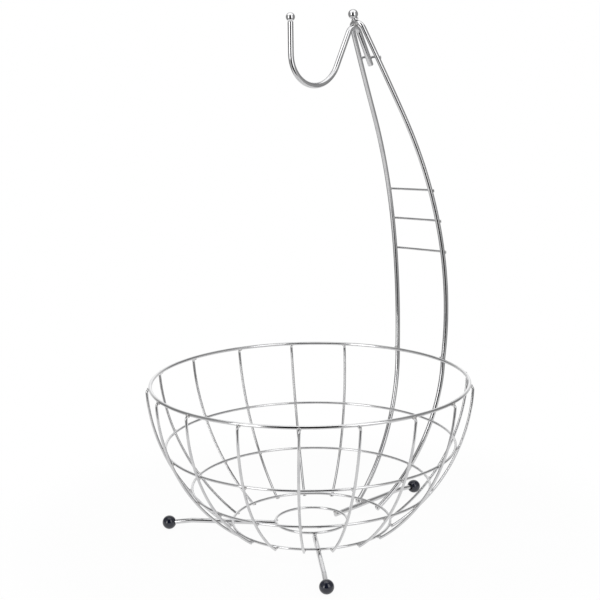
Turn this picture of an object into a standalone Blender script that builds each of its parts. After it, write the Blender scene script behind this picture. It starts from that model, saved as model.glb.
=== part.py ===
"""Fruit basket with banana hanger, bent and welded from round steel wire.

A bowl of five wire rings and fifteen bent wires stands on three rod legs with push-on ball feet.
A hairpin of thicker rod climbs the back of the bowl, bows forward above it and carries the banana
hook over the middle. Metres, +Z up, +Y to the back, where the hairpin stands, and +X to the right.
Every piece hangs from one empty in the centre of the rim, and its shape is worked out from there.
"""

import math

import bmesh
import bpy
from mathutils import Matrix, Vector

# Bowl: the rings' centres lie on one superellipse, turned round the bowl's axis
RIM_RADIUS = 0.135
BOWL_DEPTH = 0.1473
BOWL_POWER = 1.9
UPPER_RING_DROP_SHARE = 0.3707
MIDDLE_RING_DROP_SHARE = 0.6253
LOWER_RING_DROP_SHARE = 0.8459
BASE_RING_RADIUS = 0.0310
UPPER_RING_DROP = BOWL_DEPTH * UPPER_RING_DROP_SHARE
MIDDLE_RING_DROP = BOWL_DEPTH * MIDDLE_RING_DROP_SHARE
LOWER_RING_DROP = BOWL_DEPTH * LOWER_RING_DROP_SHARE

# Wire and rod diameters
RIM_WIRE = 0.0029
RING_WIRE = 0.0023
BASKET_WIRE = 0.0023
UPRIGHT_ROD = 0.0042
BAR_WIRE = 0.0021
LEG_ROD = 0.0042
HOOK_ROD = 0.0048

# Welded pieces stay this far apart, so that each is its own body
WELD_GAP = 0.0003

# Basket wires: equal places round the bowl, two of them taken by the uprights
WIRE_PLACES = 17
UPRIGHT_PLACES = 2
# They are welded by eye: how far each one sits from its equal place
WIRE_SLIPS_IN_DEGREES = (3.0, -0.8, 2.6, 2.3, 1.5, 0.0, -0.8, -1.0, -2.5, -5.5, -2.0, -0.5, 0.0, 0.0, -0.3)
WIRE_TURN_AT_RIM = math.radians(-1.9)
WIRE_TURN_AT_FOOT = 0.0
WIRE_END = 0.0004
WIRE_SHOULDER_DROP = 0.0055
WIRE_TOP_SLOPE = math.radians(50.0)

# Hairpin: up the outside of the bowl, a bow above the rim, then straight to the bend
UPRIGHT_TURN_AT_RIM = math.radians(12.1)
UPRIGHT_TURN_AT_FOOT = math.radians(11.4)
UPRIGHT_END = 0.0022
BOW_RISE = 0.0380
BOW_RADIUS = 0.4120
LEAN = math.radians(26.0)
BEND_HEIGHT = 0.2932
BEND_RADIUS = 0.0070
SPLAY_AT_RIM = math.radians(3.8)
SPLAY_AT_BEND = math.radians(-9.4)

# Crossbars behind the hairpin, a little out of level
BAR_HEIGHTS = {"crossbar_upper": 0.1503, "crossbar_middle": 0.1231, "crossbar_lower": 0.0953}
BAR_TILT = 0.0015

# Banana hook, from the end of its tail, under the hairpin's bend, to its tip
TAIL_LENGTH = 0.0316
CROWN_RADIUS = 0.0067
HOOK_SLOPE = math.radians(62.7)
HOOK_RUN = 0.0309
HOOK_RADIUS = 0.0267
TIP_RUN = 0.0259
TIP_BALL = 0.0075

# Small bar behind the hairpin that holds the hook's tail, just above the tail's end
TAIL_BAR_RISE = 0.0055
TAIL_BAR_TILT = 0.0005

# Finial on the bend
FINIAL_BALL = 0.0085
FINIAL_NECK = 0.0040
FINIAL_RISE = 0.0071

# Legs: each a rod under the two lowest rings, bent down a little before its foot
LEG_OVERHANG = 0.0005
LEG_BEND_RUN = 0.0205
LEG_BEND_RADIUS = 0.0100
LEG_DROP = 0.0026
LEG_TURNS = {"back": math.radians(-4.5), "left": math.radians(-130.9), "right": math.radians(127.4)}
LEG_REACHES = {"back": 0.1400, "left": 0.1258, "right": 0.1315}

# Feet: solid plastic balls with a blind bore for the rod and a small flat to stand on
FOOT_BALL = 0.0120
FOOT_FLAT_DEPTH = 0.0003
FOOT_BORE_DEPTH = 0.0060

# Fineness of the mesh
RING_STEPS = {"rim_ring": 96, "upper_ring": 88, "middle_ring": 72, "lower_ring": 60, "base_ring": 32}
WIRE_SIDES = 8
WIRE_STEPS = 4
SHOULDER_STEPS = 3
BOW_STEPS = 12
STRAIGHT_STEPS = 4
BEND_STEPS = 10
ARC_STEP = math.radians(10.0)
BALL_STEPS = 24
BALL_RINGS = 12
CUT_OVERRUN = 0.0020

# Finish: colour, metallic value and roughness
CHROME = ((0.80, 0.80, 0.82), 1.0, 0.12)
BLACK_PLASTIC = ((0.015, 0.016, 0.022), 0.0, 0.28)


def clear_scene():
    for thing in list(bpy.data.objects):
        bpy.data.objects.remove(thing, do_unlink=True)


def collection_named(name):
    group = bpy.data.collections.new(name)
    bpy.context.scene.collection.children.link(group)
    return group


def finish_of(name, finish):
    colour, metallic, roughness = finish
    material = bpy.data.materials.new(name)
    material.use_nodes = True
    shader = material.node_tree.nodes["Principled BSDF"]
    shader.inputs["Base Color"].default_value = (*colour, 1.0)
    shader.inputs["Metallic"].default_value = metallic
    shader.inputs["Roughness"].default_value = roughness
    return material


def bowl_radius(drop):
    """Radius of the bowl's curve at a depth below the rim."""
    share = drop / BOWL_DEPTH
    return RIM_RADIUS * (1.0 - share ** BOWL_POWER) ** (1.0 / BOWL_POWER)


def bowl_outward(drop):
    """Unit vector across the bowl's curve, away from the bowl: (outwards, upwards)."""
    across = bowl_radius(drop) ** (BOWL_POWER - 1.0) / RIM_RADIUS ** BOWL_POWER
    down = drop ** (BOWL_POWER - 1.0) / BOWL_DEPTH ** BOWL_POWER
    length = math.hypot(across, down)
    return across / length, -down / length


def beside_bowl(drop, offset, turn):
    """Point at an offset outside the bowl's curve, turned from the back (+Y) towards +X."""
    across, up = bowl_outward(drop)
    radius = bowl_radius(drop) + offset * across
    return Vector((radius * math.sin(turn), radius * math.cos(turn), -drop + offset * up))


def blend(start, start_slope, end, end_slope, share, length):
    """Cubic between two values with given slopes at both ends."""
    square, cube = share ** 2, share ** 3
    value = start * (2.0 * cube - 3.0 * square + 1.0) + end * (3.0 * square - 2.0 * cube)
    return value + length * (start_slope * (cube - 2.0 * square + share) + end_slope * (cube - square))


def bent_path(start, heading, moves):
    """Points of a wire bent in the plane x = 0: runs of a length, bends of a radius and an angle."""
    points = [Vector(start)]
    for kind, size, turn in moves:
        along = Vector((0.0, math.cos(heading), math.sin(heading)))
        if kind == "run":
            points.append(points[-1] + along * size)
            continue
        side = Vector((0.0, -along.z, along.y)) * math.copysign(1.0, turn)
        centre = points[-1] + side * size
        steps = max(2, math.ceil(abs(turn) / ARC_STEP))
        for step in range(1, steps + 1):
            angle = turn * step / steps
            points.append(centre + Matrix.Rotation(angle, 3, "X") @ (-side * size))
        heading += turn
    return points


def add_object(name, data, material, group, parent):
    thing = bpy.data.objects.new(name, data)
    data.materials.append(material)
    group.objects.link(thing)
    thing.parent = parent
    return thing


def add_wire(name, points, diameter, material, group, parent):
    """Round wire along a list of points, closed at both ends."""
    curve = bpy.data.curves.new(name, "CURVE")
    curve.dimensions = "3D"
    curve.bevel_depth = diameter / 2.0
    curve.bevel_resolution = (WIRE_SIDES - 4) // 2
    curve.use_fill_caps = True
    spline = curve.splines.new("POLY")
    spline.points.add(len(points) - 1)
    for slot, point in zip(spline.points, points):
        slot.co = (*point, 1.0)
        slot.radius = 1.0
    spline.use_smooth = True
    return add_object(name, curve, material, group, parent)


def add_ring(name, radius, drop, diameter, material, group, parent):
    """Closed ring of wire, level, round the bowl's axis."""
    bpy.ops.mesh.primitive_torus_add(major_radius=radius, minor_radius=diameter / 2.0,
                                     major_segments=RING_STEPS[name], minor_segments=WIRE_SIDES)
    ring = bpy.context.object
    ring.name = ring.data.name = name
    for owner in list(ring.users_collection):
        owner.objects.unlink(ring)
    group.objects.link(ring)
    ring.data.materials.append(material)
    ring.data.shade_smooth()
    ring.parent = parent
    ring.location = (0.0, 0.0, -drop)
    return ring


def ball_outline(radius, hole):
    """Half outline of a ball from its top pole down to where a bore or flat of a radius starts."""
    last = math.pi - math.asin(hole / radius)
    angles = [last * step / BALL_RINGS for step in range(BALL_RINGS + 1)]
    return [(radius * math.sin(angle), radius * math.cos(angle)) for angle in angles]


def add_turned(name, outline, place, axis, material, group, parent):
    """Solid turned from an outline that runs down its outer side, with its own +Z along the axis."""
    mesh = bpy.data.meshes.new(name)
    mesh.from_pydata([(across, 0.0, up) for across, up in outline],
                     [(step, step + 1) for step in range(len(outline) - 1)], [])
    thing = add_object(name, mesh, material, group, parent)
    screw = thing.modifiers.new("turned", "SCREW")
    screw.axis = "Z"
    screw.steps = screw.render_steps = BALL_STEPS
    screw.use_merge_vertices = True
    screw.merge_threshold = 0.00001
    screw.use_smooth_shade = True
    thing.location = place
    thing.rotation_mode = "QUATERNION"
    thing.rotation_quaternion = Vector((0.0, 0.0, 1.0)).rotation_difference(axis)
    return thing


def cut_below(thing, height, reach, cutters, parent):
    """Cut a flat across the bottom of a piece at a height in the basket's frame."""
    mesh = bpy.data.meshes.new(thing.name + "_flat")
    shape = bmesh.new()
    bmesh.ops.create_cube(shape, size=reach)
    shape.to_mesh(mesh)
    shape.free()
    cutter = bpy.data.objects.new(mesh.name, mesh)
    cutters.objects.link(cutter)
    cutter.parent = parent
    cutter.location = (thing.location.x, thing.location.y, height - reach / 2.0)
    cutter.hide_render = True
    cutter.display_type = "WIRE"
    cut = thing.modifiers.new("flat", "BOOLEAN")
    cut.operation = "DIFFERENCE"
    cut.solver = "EXACT"
    cut.object = cutter


def rim_side(outward, below, turn):
    """Point outside and below the centre of the rim's wire."""
    radius = RIM_RADIUS + outward
    return Vector((radius * math.sin(turn), radius * math.cos(turn), -below))


def beside(one, other):
    """Distance between the centre lines of two round wires that are welded side by side."""
    return one / 2.0 + WELD_GAP + other / 2.0


def turn_between(at_rim, at_foot, drop):
    """Turn round the bowl's axis at a depth, for a wire that is turned a little on its way down."""
    return at_rim + (at_foot - at_rim) * drop / LOWER_RING_DROP


def climb_points(diameter, top_drop, end, turn_at_rim, turn_at_foot):
    """Points up the outside of the rings, from a straight end below the lower one to a top depth."""
    side = beside(RING_WIRE, diameter)
    drops = [LOWER_RING_DROP, MIDDLE_RING_DROP, UPPER_RING_DROP, top_drop]
    offsets = [side, side, side, beside(RIM_WIRE, diameter)]
    first = beside_bowl(LOWER_RING_DROP, side, turn_at_foot)
    along = first - beside_bowl(LOWER_RING_DROP - end, side, turn_at_foot)
    points = [first + along.normalized() * end]
    for low, high, start, stop in zip(drops, drops[1:], offsets, offsets[1:]):
        for step in range(WIRE_STEPS):
            share = step / WIRE_STEPS
            drop = low + (high - low) * share
            turn = turn_between(turn_at_rim, turn_at_foot, drop)
            points.append(beside_bowl(drop, start + (stop - start) * share, turn))
    return points


def upright_at(height):
    """Right-hand rod of the hairpin above the rim: its half spread and its place in depth."""
    start = beside_bowl(0.0, beside(RIM_WIRE, UPRIGHT_ROD), UPRIGHT_TURN_AT_RIM)
    peak = start.y + BOW_RADIUS - math.sqrt(BOW_RADIUS ** 2 - BOW_RISE ** 2)
    bow_top = BOW_RISE + BOW_RADIUS * math.sin(LEAN)
    if height <= bow_top:
        depth = peak - BOW_RADIUS + math.sqrt(BOW_RADIUS ** 2 - (height - BOW_RISE) ** 2)
    else:
        depth = peak - BOW_RADIUS * (1.0 - math.cos(LEAN)) - (height - bow_top) * math.tan(LEAN)
    end_spread = BEND_RADIUS * math.cos(SPLAY_AT_BEND)
    slopes = math.tan(SPLAY_AT_RIM), math.tan(SPLAY_AT_BEND)
    share = height / BEND_HEIGHT
    spread = blend(start.x, slopes[0], end_spread, slopes[1], share, BEND_HEIGHT)
    return Vector((spread, depth, height))


def upright_slope(height):
    """Angle of the hairpin's plane from upright at a height above the rim."""
    return min(LEAN, math.asin((height - BOW_RISE) / BOW_RADIUS))


def hairpin_points():
    """Right rod from its foot to the bend, the bend, and the left rod as its mirror image."""
    right = climb_points(UPRIGHT_ROD, 0.0, UPRIGHT_END, UPRIGHT_TURN_AT_RIM, UPRIGHT_TURN_AT_FOOT)
    bow_top = BOW_RISE + BOW_RADIUS * math.sin(LEAN)
    right += [upright_at(bow_top * step / BOW_STEPS) for step in range(BOW_STEPS)]
    run = BEND_HEIGHT - bow_top
    right += [upright_at(bow_top + run * step / STRAIGHT_STEPS) for step in range(STRAIGHT_STEPS)]
    left = [Vector((-point.x, point.y, point.z)) for point in reversed(right)]
    return right + bend_points() + left


def bend_centre():
    """Centre of the bend at the top, in the plane of the two rods."""
    end = upright_at(BEND_HEIGHT)
    below = BEND_RADIUS * math.sin(-SPLAY_AT_BEND)
    return Vector((0.0, end.y, end.z)) - lean_axis() * below


def lean_axis():
    return Vector((0.0, -math.sin(LEAN), math.cos(LEAN)))


def bend_points():
    first = -SPLAY_AT_BEND
    sweep = math.pi - 2.0 * first
    angles = [first + sweep * step / BEND_STEPS for step in range(BEND_STEPS + 1)]
    across = Vector((1.0, 0.0, 0.0))
    return [bend_centre() + (across * math.cos(angle) + lean_axis() * math.sin(angle)) * BEND_RADIUS
            for angle in angles]


def wire_points(place):
    """One basket wire, from the lower ring up to its shoulder and in against the rim from below."""
    turn = place + turn_between(WIRE_TURN_AT_RIM, WIRE_TURN_AT_FOOT, WIRE_SHOULDER_DROP)
    points = climb_points(BASKET_WIRE, WIRE_SHOULDER_DROP, WIRE_END, place + WIRE_TURN_AT_RIM,
                          place + WIRE_TURN_AT_FOOT)
    side = beside(RIM_WIRE, BASKET_WIRE)
    reach = RIM_WIRE / 2.0 + WELD_GAP
    shoulder = beside_bowl(WIRE_SHOULDER_DROP, side, turn)
    corner = rim_side(side, side * math.tan(WIRE_TOP_SLOPE), turn)
    end = rim_side(reach * math.cos(WIRE_TOP_SLOPE), reach * math.sin(WIRE_TOP_SLOPE), turn)
    for step in range(SHOULDER_STEPS + 1):
        share = step / SHOULDER_STEPS
        points.append(shoulder.lerp(corner, share).lerp(corner.lerp(end, share), share))
    return points


def bar_points(height, tilt):
    """Bar behind both rods of the hairpin, its right end higher than its left by twice the tilt."""
    ends = []
    for side in (-1.0, 1.0):
        level = height + side * tilt
        rod = upright_at(level)
        slope = upright_slope(level)
        back = Vector((0.0, math.cos(slope), math.sin(slope)))
        behind = back * (UPRIGHT_ROD / 2.0 + WELD_GAP + BAR_WIRE / 2.0)
        ends.append(Vector((side * rod.x, rod.y, rod.z)) + behind)
    return ends


def tail_end():
    """End of the hook's tail, flush with the rods' backs, so that the crown fits under the bend."""
    ahead = (HOOK_ROD - UPRIGHT_ROD) / 2.0
    apart = CROWN_RADIUS + beside(HOOK_ROD, UPRIGHT_ROD)
    below_bend = math.sqrt(apart ** 2 - (CROWN_RADIUS + ahead) ** 2) - BEND_RADIUS
    back = Vector((0.0, math.cos(LEAN), math.sin(LEAN)))
    return bend_centre() - lean_axis() * (below_bend + TAIL_LENGTH) - back * ahead


def hook_points():
    """Banana hook in the plane x = 0, from its tail between the rods over the crown to its tip."""
    upward = math.pi / 2.0 + LEAN
    crown = math.pi / 2.0 - LEAN + HOOK_SLOPE
    moves = [("run", TAIL_LENGTH, 0.0), ("bend", CROWN_RADIUS, crown), ("run", HOOK_RUN, 0.0),
             ("bend", HOOK_RADIUS, -(math.pi / 2.0 + HOOK_SLOPE)), ("run", TIP_RUN, 0.0)]
    return bent_path(tail_end(), upward, moves)


def leg_points(turn, reach):
    """Leg rod from inside the base ring to the bottom of the foot's bore, and its end's direction."""
    height = -(LOWER_RING_DROP + beside(RING_WIRE, LEG_ROD))
    slope = math.atan(LEG_DROP / LEG_BEND_RUN)
    inner = BASE_RING_RADIUS - LEG_OVERHANG
    back_off = LEG_BEND_RADIUS * math.tan(slope / 2.0)
    slanted = math.hypot(LEG_DROP, LEG_BEND_RUN) - back_off - foot_seat()
    moves = [("run", reach - LEG_BEND_RUN - back_off - inner, 0.0),
             ("bend", LEG_BEND_RADIUS, -slope), ("run", slanted, 0.0)]
    flat = bent_path(Vector((0.0, inner, height)), 0.0, moves)
    turned = Matrix.Rotation(-turn, 3, "Z")
    return [turned @ point for point in flat]


def foot_seat():
    """Distance from the ball's centre to the rod's end inside the bore."""
    mouth = math.sqrt((FOOT_BALL / 2.0) ** 2 - bore_radius() ** 2)
    return mouth - FOOT_BORE_DEPTH + WELD_GAP


def bore_radius():
    return LEG_ROD / 2.0 + WELD_GAP


def foot_place(turn, reach):
    height = -(LOWER_RING_DROP + beside(RING_WIRE, LEG_ROD)) - LEG_DROP
    return Vector((reach * math.sin(turn), reach * math.cos(turn), height))


def floor_height():
    """Height of the surface under the feet, below the rim's centre."""
    return foot_place(0.0, 0.0).z - FOOT_BALL / 2.0 + FOOT_FLAT_DEPTH


def wire_places():
    """Places of the basket wires round the bowl, from the back (+Y) towards +X."""
    pitch = math.tau / WIRE_PLACES
    first = UPRIGHT_PLACES * pitch - pitch / 2.0
    return [first + pitch * number + math.radians(slip) for number, slip in enumerate(WIRE_SLIPS_IN_DEGREES)]


def wire_reach(heading):
    """How far the basket wires reach from the bowl's axis towards a heading."""
    radius = bowl_radius(WIRE_SHOULDER_DROP) + beside(RIM_WIRE, BASKET_WIRE)
    share = max(math.cos(place + WIRE_TURN_AT_RIM - heading) for place in wire_places())
    return radius * share + BASKET_WIRE / 2.0


def rim_place():
    """Place of the rim's centre that puts the origin under the middle of the whole basket."""
    quarter = math.pi / 2.0
    back = foot_place(LEG_TURNS["back"], LEG_REACHES["back"]).y + FOOT_BALL / 2.0
    across = (wire_reach(-quarter) - wire_reach(quarter)) / 2.0
    return Vector((across, (wire_reach(math.pi) - back) / 2.0, -floor_height()))


def foot_outline():
    """Outline of a foot ball, with its bore opening at the lower end."""
    outline = ball_outline(FOOT_BALL / 2.0, bore_radius())
    mouth = outline[-1][1]
    return outline + [(bore_radius(), mouth + FOOT_BORE_DEPTH), (0.0, mouth + FOOT_BORE_DEPTH)]


def add_bowl(chrome, group, parent):
    rings = {"rim_ring": (RIM_RADIUS, 0.0, RIM_WIRE),
             "upper_ring": (bowl_radius(UPPER_RING_DROP), UPPER_RING_DROP, RING_WIRE),
             "middle_ring": (bowl_radius(MIDDLE_RING_DROP), MIDDLE_RING_DROP, RING_WIRE),
             "lower_ring": (bowl_radius(LOWER_RING_DROP), LOWER_RING_DROP, RING_WIRE),
             "base_ring": (BASE_RING_RADIUS, LOWER_RING_DROP, RING_WIRE)}
    for name, (radius, drop, diameter) in rings.items():
        add_ring(name, radius, drop, diameter, chrome, group, parent)
    for number, place in enumerate(wire_places(), start=1):
        add_wire(f"basket_wire_{number:02d}", wire_points(place), BASKET_WIRE, chrome, group, parent)


def add_hanger(chrome, group, parent):
    add_wire("hanger_upright", hairpin_points(), UPRIGHT_ROD, chrome, group, parent)
    for name, height in BAR_HEIGHTS.items():
        add_wire(name, bar_points(height, BAR_TILT), BAR_WIRE, chrome, group, parent)
    hook = hook_points()
    tail_bar = bar_points(hook[0].z + TAIL_BAR_RISE, TAIL_BAR_TILT)
    add_wire("hook_tail_bar", tail_bar, BAR_WIRE, chrome, group, parent)
    add_wire("banana_hook", hook, HOOK_ROD, chrome, group, parent)
    outline = ball_outline(TIP_BALL / 2.0, HOOK_ROD / 2.0)
    place = hook[-1] + Vector((0.0, 0.0, WELD_GAP - outline[-1][1]))
    outline.append((0.0, outline[-1][1]))
    add_turned("hook_tip_ball", outline, place, Vector((0.0, 0.0, 1.0)), chrome, group, parent)
    apex = bend_centre() + lean_axis() * BEND_RADIUS
    foot = UPRIGHT_ROD / 2.0 + WELD_GAP - FINIAL_RISE
    outline = ball_outline(FINIAL_BALL / 2.0, FINIAL_NECK / 2.0)
    outline += [(FINIAL_NECK / 2.0, foot), (0.0, foot)]
    place = apex + lean_axis() * FINIAL_RISE
    add_turned("finial_ball", outline, place, lean_axis(), chrome, group, parent)


def add_legs(chrome, black, group, cutters, parent):
    for side, turn in LEG_TURNS.items():
        points = leg_points(turn, LEG_REACHES[side])
        add_wire("leg_" + side, points, LEG_ROD, chrome, group, parent)
        outward = (points[-1] - points[-2]).normalized()
        place = foot_place(turn, LEG_REACHES[side])
        foot = add_turned("foot_ball_" + side, foot_outline(), place, outward, black, group, parent)
        cut_below(foot, floor_height(), FOOT_BALL + CUT_OVERRUN, cutters, parent)


def main():
    clear_scene()
    group = collection_named("fruit_basket")
    cutters = collection_named("cutters")
    chrome = finish_of("chrome", CHROME)
    black = finish_of("black_plastic", BLACK_PLASTIC)
    rim_centre = bpy.data.objects.new("rim_centre", None)
    group.objects.link(rim_centre)
    rim_centre.location = rim_place()
    add_bowl(chrome, group, rim_centre)
    add_hanger(chrome, group, rim_centre)
    add_legs(chrome, black, group, cutters, rim_centre)


main()
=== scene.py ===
"""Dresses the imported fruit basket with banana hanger: smooth wires, welds, finishes and a studio.

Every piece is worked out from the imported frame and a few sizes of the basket, and stands where its
CAD node does. Metres, +Z up, +Y to the back, where the hanger stands, and +X to the right.
"""

import math
from typing import NamedTuple

import bmesh
import bpy
from bpy.props import FloatProperty, FloatVectorProperty, PointerProperty
from bpy.types import Operator, Panel, PropertyGroup
from mathutils import Matrix, Vector, noise


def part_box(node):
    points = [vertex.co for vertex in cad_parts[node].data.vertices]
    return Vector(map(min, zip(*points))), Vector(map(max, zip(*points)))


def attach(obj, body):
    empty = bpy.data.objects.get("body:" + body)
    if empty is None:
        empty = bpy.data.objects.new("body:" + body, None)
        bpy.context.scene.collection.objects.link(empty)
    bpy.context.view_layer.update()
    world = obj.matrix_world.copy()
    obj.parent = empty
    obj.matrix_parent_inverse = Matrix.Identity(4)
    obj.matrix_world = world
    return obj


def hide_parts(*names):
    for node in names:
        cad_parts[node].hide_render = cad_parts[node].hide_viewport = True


bl_info = {
    "name": "Wire fruit basket",
    "version": (1, 0, 0),
    "blender": (4, 5, 0),
    "location": "3D View > Sidebar > Fruit basket",
    "description": "Chromed wire fruit basket with a banana hanger, in a plain studio",
    "category": "Add Mesh",
}

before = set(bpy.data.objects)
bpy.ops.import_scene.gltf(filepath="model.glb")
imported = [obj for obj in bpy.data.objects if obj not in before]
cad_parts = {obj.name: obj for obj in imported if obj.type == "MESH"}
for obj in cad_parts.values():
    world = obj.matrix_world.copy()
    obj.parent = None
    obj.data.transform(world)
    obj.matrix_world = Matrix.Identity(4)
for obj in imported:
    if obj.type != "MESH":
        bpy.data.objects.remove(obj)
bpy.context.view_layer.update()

UP = Vector((0.0, 0.0, 1.0))
ACROSS = Vector((1.0, 0.0, 0.0))


# What the frame says

def middle_of(node):
    low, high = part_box(node)
    return (low + high) / 2.0


def ring_measures(node):
    """Centre of a CAD ring, the radius of its centre line and the diameter of its wire."""
    low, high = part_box(node)
    wire = high.z - low.z
    return (low + high) / 2.0, (high.x - low.x - wire) / 2.0, wire


def end_of(node, direction, depth):
    """Middle of the end of a CAD wire that lies furthest in a direction, over a small depth."""
    points = [vertex.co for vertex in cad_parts[node].data.vertices]
    furthest = max(point.dot(direction) for point in points)
    end = [point for point in points if point.dot(direction) > furthest - depth]
    return sum(end, Vector()) / len(end)


RIM_CENTRE, RIM_RADIUS, RIM_WIRE = ring_measures("rim_ring")
RING_WIRE = ring_measures("lower_ring")[2]
CROSSED_RINGS = ("upper_ring", "middle_ring", "lower_ring")
RING_DROPS = {name: RIM_CENTRE.z - middle_of(name).z
              for name in ("rim_ring", *CROSSED_RINGS, "base_ring")}
WIRE_NODES = sorted(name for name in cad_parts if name.startswith("basket_wire_"))
CROSSBARS = ("crossbar_upper", "crossbar_middle", "crossbar_lower")
LEGS = ("back", "left", "right")


# Fineness of the meshes

RING_STEPS = 180
CLIMB_STEPS = 9
SHOULDER_STEPS = 6
HAIRPIN_STEPS = 40
HOOK_ARC_STEP = math.radians(4.0)
LEG_ARC_STEP = math.radians(2.0)
WIRE_SIDES = 24
ROD_SIDES = 32
EDGE_STEPS = 3
EDGE_SHARE = 0.3
BALL_SIDES = 40
BALL_RINGS = 22
FLARE_STEPS = 6
FOOT_SIDES = 48
FOOT_RINGS = 26
LIP_STEPS = 4
WELD_SIDES = 16
WELD_RINGS = 9
SHARP_ANGLE = math.radians(40.0)


# Paths

def turned(radius, turn, height):
    """Offset from the bowl's axis, turned from the back (+Y) towards +X."""
    return Vector((radius * math.sin(turn), radius * math.cos(turn), height))


def spread(first, sweep, steps):
    """Evenly spaced values from the first one over a sweep."""
    return [first + sweep * step / steps for step in range(steps + 1)]


def full_turn(steps):
    """Evenly spaced angles once round."""
    return spread(0.0, math.tau, steps)[:-1]


def in_profile(turn):
    """Unit vector in the basket's side view, turned up from the back (+Y)."""
    return Vector((0.0, math.cos(turn), math.sin(turn)))


def blend(start, start_slope, end, end_slope, share, reach):
    """Cubic between two values with given slopes at both ends."""
    square, cube = share ** 2, share ** 3
    value = start * (2.0 * cube - 3.0 * square + 1.0) + end * (3.0 * square - 2.0 * cube)
    return value + reach * (start_slope * (cube - 2.0 * square + share) + end_slope * (cube - square))


def bent_path(start, heading, moves, arc_step):
    """Points of a wire bent in a plane of constant x: runs of a length, bends of a radius and angle."""
    points = [Vector(start)]
    for kind, size, turn in moves:
        if kind == "run":
            points.append(points[-1] + in_profile(heading) * size)
            continue
        side = in_profile(heading + math.copysign(math.pi / 2.0, turn))
        centre = points[-1] + side * size
        steps = max(2, math.ceil(abs(turn) / arc_step))
        for angle_now in spread(0.0, turn, steps)[1:]:
            points.append(centre + Matrix.Rotation(angle_now, 3, "X") @ (-side * size))
        heading += turn
    return points


def directions_along(points, closed):
    """Unit direction of a path at each of its points."""
    steps = [(after - before).normalized() for before, after in zip(points, points[1:])]
    if closed:
        steps.append((points[0] - points[-1]).normalized())
        return [(steps[number - 1] + step).normalized() for number, step in enumerate(steps)]
    middle = [(before + after).normalized() for before, after in zip(steps, steps[1:])]
    return [steps[0]] + middle + [steps[-1]]


# Meshes

def faces_between(rows, sides, first=0, closed=False):
    """Faces between rows of vertices that each go once round, from the first vertex's number on."""
    return [(first + row * sides + step, first + row * sides + (step + 1) % sides,
             first + (row + 1) % rows * sides + (step + 1) % sides, first + (row + 1) % rows * sides + step)
            for row in range(rows if closed else rows - 1) for step in range(sides)]


def rounded_end(place, inwards, along, radius):
    """Stations of a wire's end, from the cut face inwards: place, direction and radius."""
    edge = radius * EDGE_SHARE
    return [(place + inwards * edge * (1.0 - math.cos(turn)), along, radius - edge * (1.0 - math.sin(turn)))
            for turn in spread(0.0, math.pi / 2.0, EDGE_STEPS)]


def tube(points, diameter, sides, closed=False):
    """Round wire along a path, as vertices and faces. An open one has rounded edges at its ends."""
    radius = diameter / 2.0
    alongs = directions_along(points, closed)
    stations = [(point, along, radius) for point, along in zip(points, alongs)]
    if not closed:
        first = rounded_end(points[0], alongs[0], alongs[0], radius)
        last = rounded_end(points[-1], -alongs[-1], alongs[-1], radius)
        stations = first + stations[1:-1] + last[::-1]
    side, before = alongs[0].orthogonal().normalized(), alongs[0]
    verts = []
    for place, along, reach in stations:
        side = (before.rotation_difference(along) @ side).normalized()
        other = along.cross(side)
        before = along
        verts += [place + (side * math.cos(turn) + other * math.sin(turn)) * reach
                  for turn in full_turn(sides)]
    faces = faces_between(len(stations), sides, closed=closed)
    if not closed:
        faces.append(tuple(reversed(range(sides))))
        faces.append(tuple(range(len(verts) - sides, len(verts))))
    return verts, faces


def ball_outline(radius, hole, rings):
    """Outline of a ball from its top pole down to where a hole of a radius starts."""
    return [(radius * math.sin(turn), radius * math.cos(turn))
            for turn in spread(0.0, math.pi - math.asin(hole / radius), rings)]


def closed_surface(rows):
    """Vertices and faces through rows of points that each go once round, from pole to pole."""
    verts = [point for row in rows for point in row]
    sides, last = len(rows[1]), len(verts) - 1
    faces = faces_between(len(rows) - 2, sides, first=1)
    for step in range(sides):
        after = (step + 1) % sides
        faces.append((0, 1 + after, 1 + step))
        faces.append((last, last - sides + step, last - sides + after))
    return verts, faces


def turned_solid(outline, place, axis, sides):
    """Solid turned from an outline of (radius, height) that starts and ends on its axis, top first."""
    turn_to = UP.rotation_difference(axis).to_matrix()
    return closed_surface([
        [place + turn_to @ Vector((radius * math.cos(turn), radius * math.sin(turn), height))
         for turn in (full_turn(sides) if radius else [0.0])]
        for radius, height in reversed(outline)])


def signed_power(value, power):
    """Power of a value that keeps its sign."""
    return math.copysign(abs(value) ** power, value)


def bead(weld, place, along, normal, wire):
    """Small lumpy weld round a place, flattened along the normal of the two wires' contact."""
    across = normal.cross(along).normalized()
    along = across.cross(normal).normalized()
    power = 2.0 / weld.squareness
    rows = []
    for number, tilt in enumerate(spread(-math.pi / 2.0, math.pi, WELD_RINGS)):
        reach = wire * weld.reach * abs(math.cos(tilt)) ** power
        rise = normal * signed_power(math.sin(tilt), power) * wire * weld.thickness
        rows.append([])
        for turn in full_turn(WELD_SIDES) if 0 < number < WELD_RINGS else [0.0]:
            ahead = along * signed_power(math.cos(turn), power)
            point = place + (ahead + across * signed_power(math.sin(turn), power)) * reach + rise
            swelling = weld.unevenness * noise.noise(point / weld.lump)
            rows[-1].append(point + (point - place) * swelling)
    return closed_surface(rows)


def joined(parts):
    """Several lists of vertices and faces as one."""
    verts, faces = [], []
    for more_verts, more_faces in parts:
        faces += [tuple(number + len(verts) for number in face) for face in more_faces]
        verts += more_verts
    return verts, faces


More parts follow.
